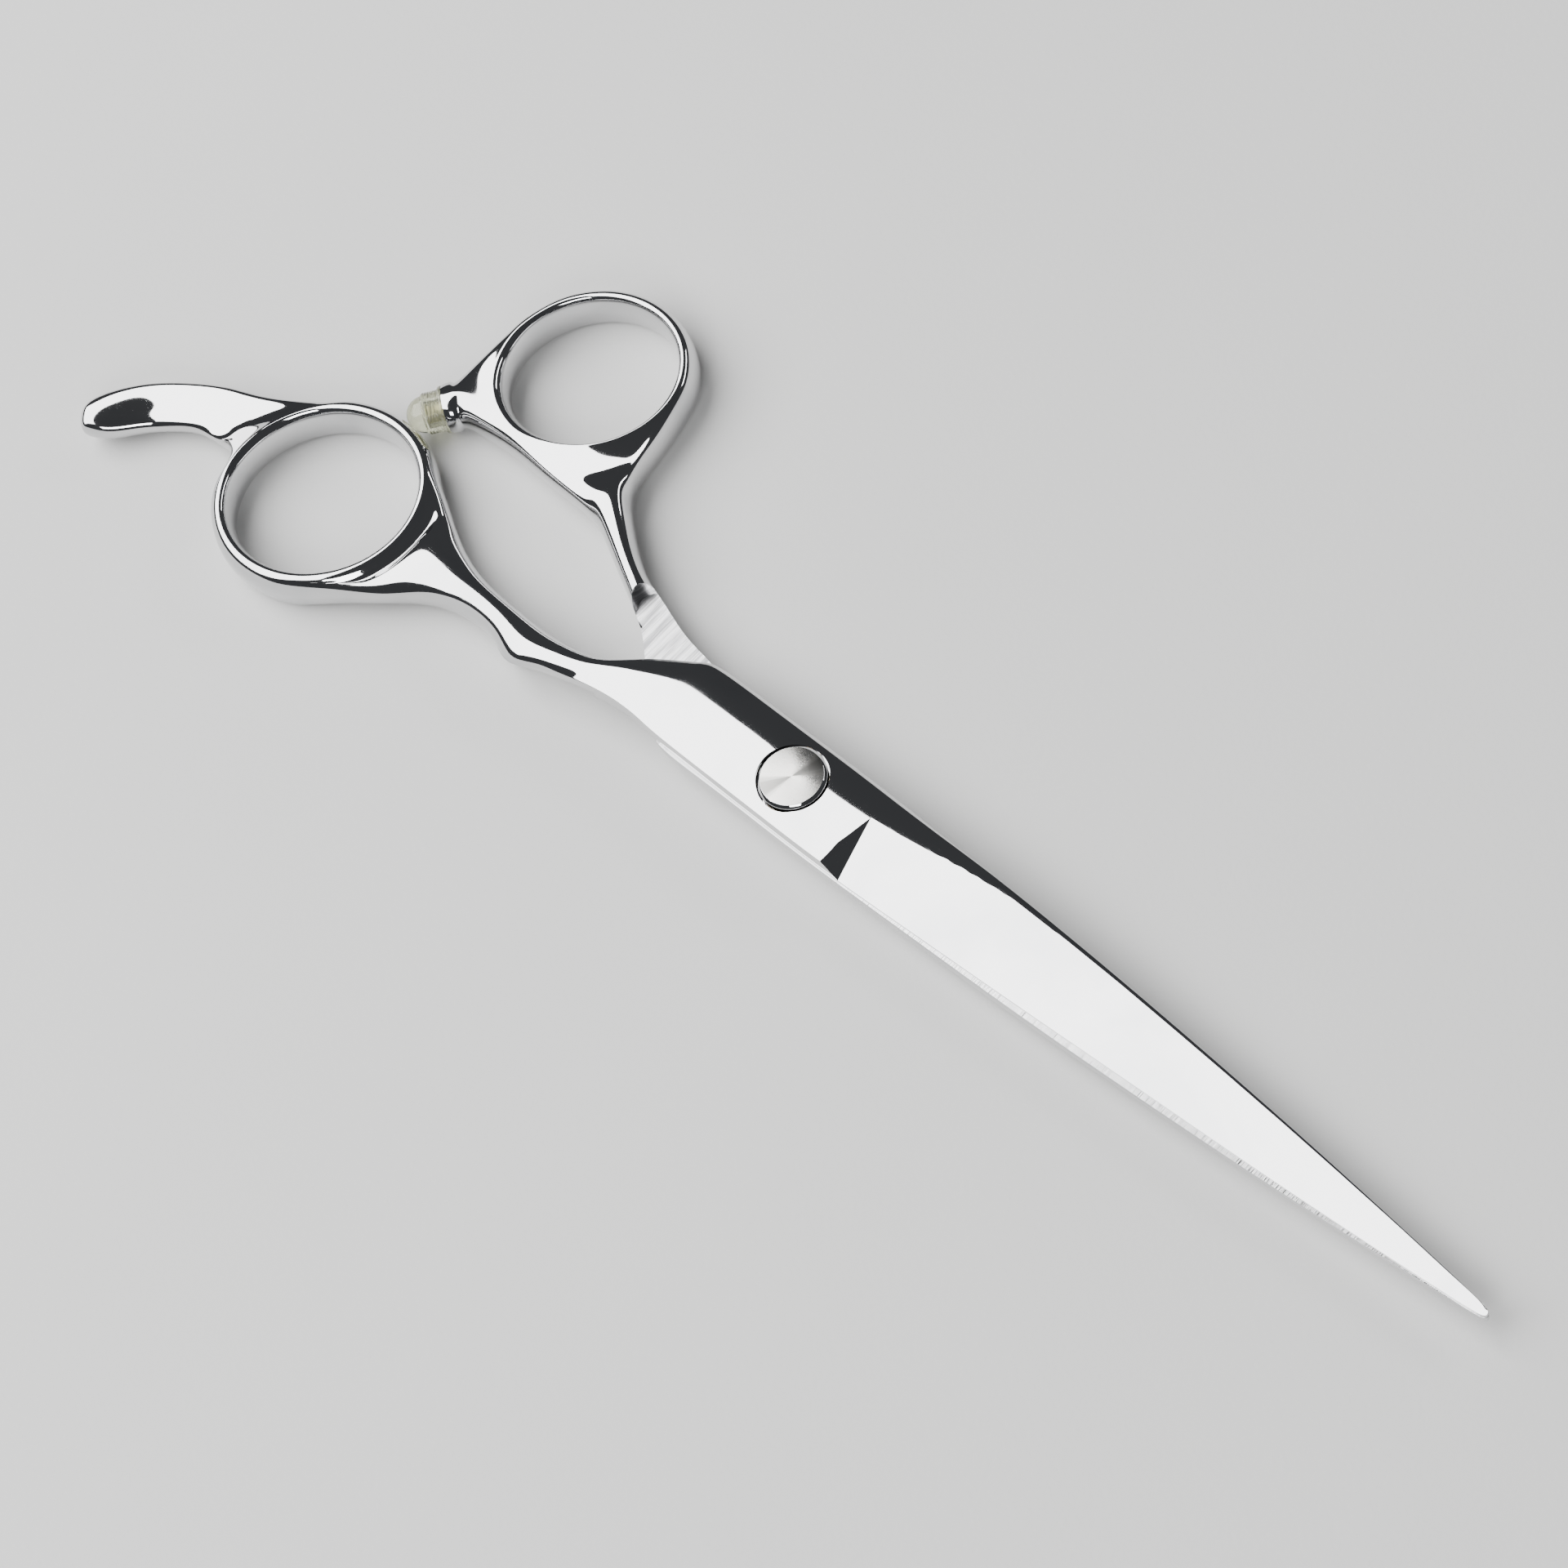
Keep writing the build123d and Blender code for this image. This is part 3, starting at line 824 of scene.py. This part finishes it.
def scoop_x(across, high):
    """Where the scoop's wall is, at a height above the bevel. It leans back more towards the edge."""
    fall = max(0.0, bevel_fall(plunge_x, across))
    rise = max(0.0, high - bevel_high(plunge_x, across)) * plate_thick
    return plunge_x + scoop_sweep * fall - min((scoop_lean + edge_lean * fall ** 2) * rise, scoop_reach)


def bevel_tool(name, over):
    levels = (0.0, 0.06, 0.13, 0.25, 0.4, 0.6, 0.9, 2.0)
    tool_top = 3.4
    first, last = bevel_across[0], bevel_across[-1]
    rows = []

    def point(x, across, high):
        spine = read_off(min(x, tip_x), spine_at, spine_y)
        edge = -read_off(min(x, tip_x), edge_at, edge_y)
        p = (x, spine + (edge - spine) * across, upper_z + high * blade_high(x))
        return p if over else (p[0], -p[1], 2 * ride_z - p[2])

    # the scoop: rows that come down from above the plate to the bevel
    for level in reversed(levels):
        highs = [bevel_high(plunge_x, across) + level for across in bevel_across]
        row = [point(scoop_x(across, high), across, high) for across, high in zip(bevel_across, highs)]
        ends = [point(scoop_x(across, tool_top), across, tool_top) for across in (last, first)]
        rows.append(row + ends)
    # the bevel, out past the tip
    for x in bevel_x:
        row = [point(x, across, bevel_high(x, across)) for across in bevel_across]
        rows.append(row + [point(x, last, tool_top), point(x, first, tool_top)])
    return stacked_tool(name, rows)


# %% [markdown]
# ## Grind and bore the halves
# The upper half gets its bevel, the counterbore for the disc and its bearing, and a scallop in the edge side
# of its neck. The lower half gets its bevel, the flat face that the upper half rides on, with a round-ended
# step where the shank begins, and the recess for the tension screw below.

# %% Cut the finger half
bush_r = box_mm("pivot_bush")[1].x
race_z = box_mm("lower_race")[0].z
disc_gap = 0.2
counterbore_r = disc_r + disc_gap
lip = 0.10
tool_under, tool_over = 1, 2
counterbore = turned_tool("counterbore", [
    (bush_r, upper_z - tool_under), (bush_r, race_z),
    (counterbore_r, race_z), (counterbore_r, plate_top_z - lip),
    (counterbore_r + 3 * lip, plate_top_z + 2 * lip), (counterbore_r + 3 * lip, plate_top_z + tool_over),
])
scallop_r, scallop_end = 11, 8
scallop_at = (-30.7, -17.25)
scallop_turn = Matrix.Rotation(math.radians(-22), 3, Vector((0.964, 0.265, 0)))
scallop_profile = [(scallop_r, -scallop_end), (scallop_r, scallop_end)]
scallop = turned_tool("scallop", scallop_profile, scallop_at, steps=128, lean=scallop_turn)
grind(finger_form, bevel_tool("bevel", True), counterbore, scallop)

# %% Cut the thumb half
step_x, step_y, step_r = -28.4, 6.4, 2.3


def ride_face_tool():
    """Everything above the ride plane, from the tips back to a round end whose wall leans back."""
    past_tip, right_y, left_y, top_z = 110, -30, 40, 12
    wall_slope, wall_steps = 0.25, 32
    outline = [(past_tip, right_y), (past_tip, left_y), (step_x, left_y)]
    for i in range(wall_steps + 1):
        angle = math.radians(90 + 180 * i / wall_steps)
        outline.append((step_x + step_r * math.cos(angle), step_y + step_r * math.sin(angle)))
    outline.append((step_x, right_y))
    rows = []
    for z, slope in ((lower_z, 0.0), (top_z, wall_slope)):
        rows.append([(x - slope * (z - lower_z) if i > 1 else x, y, z) for i, (x, y) in enumerate(outline)])
    return stacked_tool("ride_face", rows)


screw_r = box_mm("tension_screw")[1].x
recess_r = screw_r + 0.2
mouth_r, mouth_z = screw_r + 0.45, 0.42
sleeve_r = 1.93
recess_top = box_mm("disc_spring")[1].z
recess = turned_tool("recess", [
    (mouth_r, -1), (recess_r, mouth_z), (recess_r, recess_top), (sleeve_r, recess_top), (sleeve_r, 5),
])
grind(thumb_form, bevel_tool("bevel", False), ride_face_tool(), recess)

# %% [markdown]
# ## Shading after grinding
# The forged skin should look round and the ground borders should look sharp. Faces that meet at more than a
# set angle get a sharp edge, and the faces of the ground flats are given the satin ground finish.

# %% Finish the halves
SHARP = math.radians(24)
LEVEL_NORMAL, RIDE_GAP = 0.999, 0.01  # how level, and how near the ride face in mm, a satin face is


def finish_half(obj, node, body):
    mesh = obj.data
    mesh.materials.clear()
    mesh.materials.append(polished_steel)
    mesh.materials.append(ground_steel)
    mesh.shade_smooth()
    mesh.set_sharp_from_angle(angle=SHARP)
    ride = lower_z if node == "thumb_half" else upper_z
    satin = 0
    for face in mesh.polygons:
        flat = abs(face.normal.z) > LEVEL_NORMAL and abs(face.center.z / MM - ride) < RIDE_GAP
        face.material_index = 1 if flat else 0
        satin += flat
    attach(obj, body)
    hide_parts(node)
    print(obj.name, "rides on", body, "with", satin, "ground faces")


finish_half(finger_form, "finger_half", "finger_side")
finish_half(thumb_form, "thumb_half", "thumb_side")

# %% [markdown]
# ## Turned pieces
# The disc and the bumper are turned on a lathe or moulded in a round mould. A profile is spun about an axis,
# with extra points at each corner so that the corner is a small round instead of a knife.


# %% Lathe
TURNED_SHARP = math.radians(40)


def turned_piece(name, profile, origin, axis, steps=96):
    """A turned mesh from (radius, along) pairs about axis. A radius of 0 closes the form."""
    across = axis.orthogonal().normalized()
    third = axis.cross(across)
    bm = bmesh.new()
    rings = []
    for radius, along in profile:
        middle = Vector(origin) + axis * along
        if radius == 0:
            rings.append([bm.verts.new(middle * MM)])
            continue
        ring = []
        for i in range(steps):
            angle = 2 * math.pi * i / steps
            way = across * math.cos(angle) + third * math.sin(angle)
            ring.append(bm.verts.new((middle + way * radius) * MM))
        rings.append(ring)
    for a, b in zip(rings, rings[1:]):
        for i in range(steps):
            j = (i + 1) % steps
            if len(a) == 1:
                bm.faces.new((a[0], b[j], b[i]))
            elif len(b) == 1:
                bm.faces.new((a[i], a[j], b[0]))
            else:
                bm.faces.new((a[i], a[j], b[j], b[i]))
    bmesh.ops.recalc_face_normals(bm, faces=bm.faces)
    mesh = bpy.data.meshes.new(name)
    bm.to_mesh(mesh)
    bm.free()
    mesh.shade_smooth()
    mesh.set_sharp_from_angle(angle=TURNED_SHARP)
    obj = bpy.data.objects.new(name, mesh)
    bpy.context.scene.collection.objects.link(obj)
    return obj


def arc(centre_r, centre_z, radius, first, last, steps):
    """Points of an arc in a profile, as (radius, along)."""
    points = []
    for i in range(steps + 1):
        angle = math.radians(first + (last - first) * i / steps)
        points.append((centre_r + radius * math.cos(angle), centre_z + radius * math.sin(angle)))
    return points


# %% [markdown]
# ## The pivot disc
# The disc's face is spun against fine emery, which leaves rings too fine to see. They show as a bright
# hourglass of reflected light. A shader makes it with anisotropy and with a painted reflection: a darker,
# rougher wedge painted into the colour on each side of the middle. The painted wedges are fixed to the disc,
# so unlike the real ones they don't turn with the light. The rim is polished.

# %% Pivot disc
spun = Finish("spun_steel")
# Bearing of the painted hourglass reflection, fixed in the disc's own plane.
painted_hourglass_way = (0.464, 0.886, 0)
spun_clouds = spun.noise(300, detail=3.0)
spun_specks = spun.noise(5000, detail=2.0)
flat_place = spun.add("ShaderNodeVectorMath", {"operation": "MULTIPLY"}, {0: spun.position, 1: (1, 1, 0)})
spoke_place = spun.add("ShaderNodeVectorMath", {"operation": "NORMALIZE"}, {0: flat_place})
spokes = spun.add("ShaderNodeTexNoise", sockets={"Vector": spoke_place, "Scale": 9.0, "Detail": 3.0})
beside = spun.add(
    "ShaderNodeVectorMath", {"operation": "DOT_PRODUCT"}, {0: spoke_place, 1: painted_hourglass_way}, output="Value"
)
# The hourglass is a painted reflection: a darker, rougher wedge painted into the base colour on each side of
# the middle.
painted_hourglass = beside * beside - 0.16 * spokes
painted_dark_wedges = painted_hourglass.between(0.70, 0.92)
spun_steel = spun.surface(
    Base_Color=spun.mix(painted_dark_wedges, (0.70, 0.69, 0.66, 1), (0.34, 0.335, 0.32, 1)),
    Metallic=1.0,
    Roughness=0.22 + 0.06 * painted_dark_wedges + 0.05 * spun_clouds + 0.04 * spun_specks,
    Normal=spun.bump(spun_specks, 0.000004),
    Anisotropic=0.92,
)

disc_z, sleeve_z = disc_high.z, disc_low.z
rim = 0.34
sleeve_out_r, mouth_in_r, thread_r = 1.9, 1.45, 1.25
under_z, bore_top_z = disc_z - 1.0, disc_z - 1.15
disc_profile = [
    (0, disc_z), (disc_r - rim - 0.02, disc_z),
    (disc_r - rim, disc_z - 0.005), (disc_r - rim + 0.03, disc_z - 0.03),
    (disc_r - 0.04, disc_z - 0.27), (disc_r, disc_z - 0.34), (disc_r, under_z), (sleeve_out_r, under_z),
    (sleeve_out_r, sleeve_z + 0.1), (1.8, sleeve_z), (mouth_in_r, sleeve_z), (mouth_in_r, sleeve_z + 0.6),
    (thread_r, sleeve_z + 0.6), (thread_r, bore_top_z), (0, bore_top_z),
]
disc = turned_piece("pivot_disc_face", disc_profile, (0, 0, 0), Vector((0, 0, 1)), steps=128)
disc.data.materials.append(spun_steel)
disc.data.materials.append(polished_steel)
for face in disc.data.polygons:
    face.material_index = 0 if face.normal.z > 0.99 else 1
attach(disc, "thumb_side")
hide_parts("pivot_disc")
print("disc:", len(disc.data.polygons), "faces")

# %% [markdown]
# ## Other finishes
# The pieces inside the pivot are seen only when the tool is taken apart or turned over, but each one still
# gets the finish of its own stuff: bearing steel, blued spring steel, brass, bronze and nylon.


# %% Plain finishes
def worked_metal(name, light, dark, roughness, turn):
    """A metal with fine tool lines along one direction and a cloudy tarnish."""
    finish = Finish(name)
    lines = finish.noise(6000, detail=2.0, stretch=(1, 0.04, 1), turn=turn)
    cloud = finish.noise(400, detail=3.0).between(0.35, 0.65)
    return finish.surface(
        Base_Color=finish.mix(cloud, light, dark),
        Metallic=1.0,
        Roughness=roughness + 0.08 * lines + 0.06 * cloud,
        Normal=finish.bump(lines, 0.00001),
    )


def moulded(name, light, dark, roughness):
    """A moulded plastic with a fine eggshell texture."""
    finish = Finish(name)
    shell = finish.noise(3500, detail=2.0)
    cloud = finish.noise(500, detail=2.0)
    return finish.surface(
        Base_Color=finish.mix(cloud, light, dark),
        Roughness=roughness + 0.1 * shell,
        Normal=finish.bump(shell, 0.00002),
    )


node_finish = {
    "tension_screw": worked_metal("screw_steel", (0.72, 0.72, 0.72, 1), (0.62, 0.62, 0.63, 1), 0.22, 20),
    "disc_spring": worked_metal("spring_steel", (0.34, 0.35, 0.40, 1), (0.26, 0.27, 0.33, 1), 0.28, 70),
    "upper_race": worked_metal("bearing_steel", (0.70, 0.70, 0.71, 1), (0.62, 0.62, 0.64, 1), 0.12, 0),
    "ball_cage": worked_metal("cage_brass", (0.80, 0.60, 0.27, 1), (0.66, 0.46, 0.20, 1), 0.22, 45),
    "pivot_bush": worked_metal("bush_bronze", (0.70, 0.47, 0.28, 1), (0.58, 0.37, 0.21, 1), 0.26, 90),
    "glide_washer": moulded("white_nylon", (0.84, 0.83, 0.79, 1), (0.78, 0.77, 0.73, 1), 0.38),
}
node_finish["lower_race"] = node_finish["bearing_balls"] = node_finish["upper_race"]
node_finish["nylon_lock_ring"] = node_finish["glide_washer"]
for node, material in node_finish.items():
    part = frame["nodes"][node]
    part.data.materials.clear()
    part.data.materials.append(material)
print("finishes on", len(node_finish), "carried-over pieces")

# %% [markdown]
# ## The bumper's stud
# A short threaded stud joins the bumper to the boss. It shows through the clear bumper, so its thread is
# real: a ridge that climbs one pitch in each turn.

# %% Threaded stud
stud_r, thread_deep, pitch = 1.2, 0.16, 0.42
stud_back, stud_front = -3.6, 2.35
stud_end = 0.85  # radius of the first and last row, as a share
thread_flank = 1.3  # above 1, the groove between two turns of the ridge has a flat bottom
around_steps, rows_per_pitch = 48, 10
bm = bmesh.new()
grid = []
rows = int((stud_front - stud_back) / pitch * rows_per_pitch)
for i in range(rows + 1):
    along = stud_back + (stud_front - stud_back) * i / rows
    ring = []
    for k in range(around_steps):
        turn = k / around_steps
        wave = abs(((along / pitch + turn) % 1) * 2 - 1)
        radius = (stud_r - thread_deep * min(1, thread_flank * wave)) * (1 if 0 < i < rows else stud_end)
        angle = 2 * math.pi * turn
        way = bumper_side * math.cos(angle) + Vector((0, 0, 1)) * math.sin(angle)
        ring.append(bm.verts.new((boss_face + bumper_way * along + way * radius) * MM))
    grid.append(ring)
for a, b in zip(grid, grid[1:]):
    for k in range(around_steps):
        m = (k + 1) % around_steps
        bm.faces.new((a[k], a[m], b[m], b[k]))
bm.faces.new(grid[0])
bm.faces.new(grid[-1])
bmesh.ops.recalc_face_normals(bm, faces=bm.faces)
stud_mesh = bpy.data.meshes.new("bumper_stud_thread")
bm.to_mesh(stud_mesh)
bm.free()
stud_mesh.shade_smooth()
stud_mesh.set_sharp_from_angle(angle=math.radians(50))
stud = bpy.data.objects.new("bumper_stud_thread", stud_mesh)
bpy.context.scene.collection.objects.link(stud)
stud_mesh.materials.append(worked_metal("stud_steel", (0.66, 0.62, 0.52, 1), (0.52, 0.48, 0.40, 1), 0.25, 15))
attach(stud, "thumb_side")
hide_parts("bumper_stud")
print("stud:", len(stud_mesh.polygons), "faces")

# %% [markdown]
# ## The bumper
# The bumper is moulded in clear soft plastic: a flared rim against the boss, a ribbed collar, and a dome that
# rests on the other ring. It has a blind hole for the stud. The clear plastic bends the light, so it is a
# glassy shader with a faint tint, a little haze and a fingertip's worth of unevenness.

# %% Clear bumper
clear = Finish("clear_vinyl")
clear_cloud = clear.noise(600, detail=2.0)
clear_skin = clear.noise(1500, detail=2.0)
clear_vinyl = clear.surface(
    Base_Color=clear.mix(clear_cloud, (0.84, 0.85, 0.68, 1), (0.70, 0.71, 0.52, 1)),
    Roughness=0.05 + 0.08 * clear_cloud,
    Normal=clear.bump(clear_skin, 0.00003),
    IOR=1.45,
    Transmission_Weight=0.9,
)

dome_along = collar_long + boss_gap
bore_r = stud_r + 0.01
rim_middle_r, rim_round = 2.58, 0.15
ribs, first_rib, rib_step = 6, 0.64, 0.3
rib_root_r, rib_r = 2.33, 2.39
cap_profile = [(0, 2.62), (0.9, 2.6), (bore_r, 2.4), (bore_r, boss_gap), (2.3, boss_gap)]
cap_profile += arc(rim_middle_r, boss_gap + rim_round, rim_round, -90, 0, 4) + [(2.66, 0.42)]
for rib in range(ribs):
    foot = first_rib + rib * rib_step
    cap_profile += [(rib_root_r, foot), (rib_r, foot + 0.08), (rib_r, foot + 0.18), (rib_root_r, foot + 0.25)]
cap_profile += [(2.30, collar_long), (2.14, collar_long + 0.06)]
cap_profile += arc(0, dome_along, dome_r, 4, 86, 14) + [(0, dome_along + dome_r)]
cap = turned_piece("bumper_cap_clear", cap_profile, boss_face, bumper_way, steps=72)
cap.data.materials.append(clear_vinyl)
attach(cap, "thumb_side")
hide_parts("bumper_cap")
print("cap:", len(cap.data.polygons), "faces")

# %% [markdown]
# ## Floor and light
# A mirror shows the room, so the light is really the finish. One large soft panel stands beyond the rings
# and lights the tops of the blades. Two smaller and weaker panels add highlights from the two sides. The rest
# of the room is left dim, which gives the steel its dark bands.

# %% Floor
floor_finish = Finish("pale_floor")
floor_cloud = floor_finish.noise(14, detail=3.0)
floor_grain = floor_finish.noise(1400, detail=2.0)
pale_floor = floor_finish.surface(
    Base_Color=floor_finish.mix(floor_cloud, (0.60, 0.60, 0.595, 1), (0.64, 0.64, 0.635, 1)),
    Roughness=0.55 + 0.1 * floor_grain,
    Normal=floor_finish.bump(floor_grain, 0.00002),
)
floor_mesh = bpy.data.meshes.new("floor")
reach = 3.0
corners = [(-reach, -reach, 0), (reach, -reach, 0), (reach, reach, 0), (-reach, reach, 0)]
floor_mesh.from_pydata(corners, [], [(0, 1, 2, 3)])
floor = bpy.data.objects.new("floor", floor_mesh)
floor.location.z = cad_low.z
floor.data.materials.append(pale_floor)
bpy.context.scene.collection.objects.link(floor)

# %% Light panels
def panel(name, direction, elevation, distance, width, height, power):
    """A soft panel that faces the shears. direction is its bearing from +X in degrees, power is in watts."""
    light = bpy.data.lights.new(name, "AREA")
    light.shape = "RECTANGLE"
    light.size, light.size_y = width, height
    light.energy = power
    obj = bpy.data.objects.new(name, light)
    a, e = math.radians(direction), math.radians(elevation)
    way = Vector((math.cos(a) * math.cos(e), math.sin(a) * math.cos(e), math.sin(e)))
    obj.location = way * distance
    obj.rotation_euler = way.to_track_quat("Z", "Y").to_euler()
    bpy.context.scene.collection.objects.link(obj)
    print(name, "at", [round(v, 2) for v in obj.location])


panel("main_panel", direction=212, elevation=50, distance=1.0, width=1.35, height=1.05, power=32)
panel("side_panel", direction=310, elevation=38, distance=1.1, width=0.5, height=0.35, power=6)
panel("back_panel", direction=75, elevation=28, distance=1.2, width=0.7, height=0.16, power=3)

world = bpy.data.worlds.new("room")
world.use_nodes = True
world.node_tree.nodes["Background"].inputs["Color"].default_value = (0.06, 0.062, 0.066, 1)
bpy.context.scene.world = world
